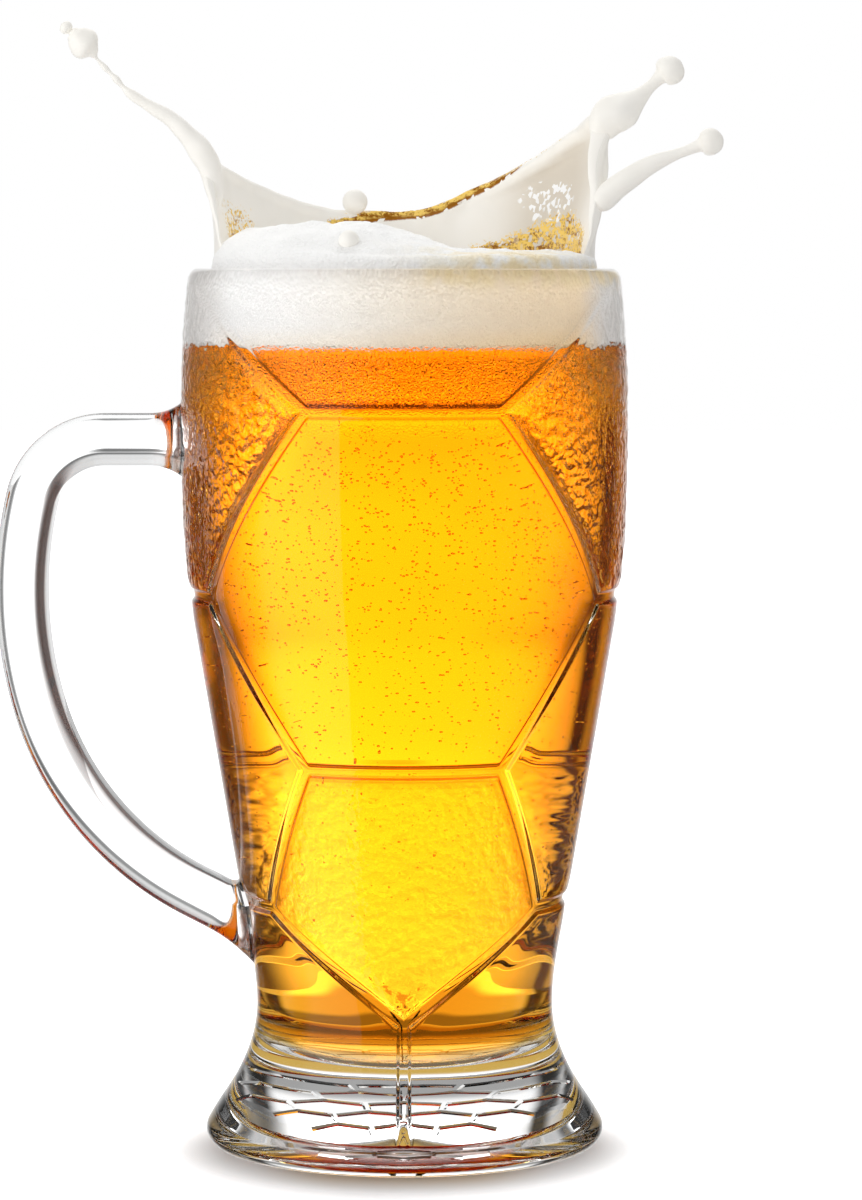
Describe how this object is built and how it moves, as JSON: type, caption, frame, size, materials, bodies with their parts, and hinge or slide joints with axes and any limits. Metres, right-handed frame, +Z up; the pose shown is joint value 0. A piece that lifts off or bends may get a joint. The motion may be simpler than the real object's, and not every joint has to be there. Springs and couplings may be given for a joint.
{
  "type": "beer mug",
  "caption": "Tall pressed-glass beer mug with a side handle, a flared foot and sunk football seams, filled with amber beer under a white head that splashes up.",
  "frame": {"origin": "middle of the foot's resting ring, on the table", "axes": "+Z up along the mug's axis, -Y to the front, the handle on -X"},
  "size_m": [0.1451, 0.089, 0.2247],
  "materials": {
    "clear_glass": "polished, with sunk seams and pebbled panels",
    "amber_beer": "clear liquid with fine bubbles",
    "white_foam": "fine wet foam"
  },
  "bodies": {
    "mug": {"bowl": "clear_glass", "foot": "clear_glass", "handle": "clear_glass", "upper_handle_seal": "clear_glass", "lower_handle_seal": "clear_glass"},
    "drink": {"beer": "amber_beer", "foam_head": "white_foam", "splash_crown": "white_foam", "left_splash_arm": "white_foam", "upper_right_splash_arm": "white_foam", "lower_right_splash_arm": "white_foam", "foam_beads": "white_foam"}
  },
  "joints": [
    {"name": "drink_lift", "type": "slide", "parent": "mug", "child": "drink", "axis": [0, 0, 1], "range_m": [0, 0.16]}
  ]
}
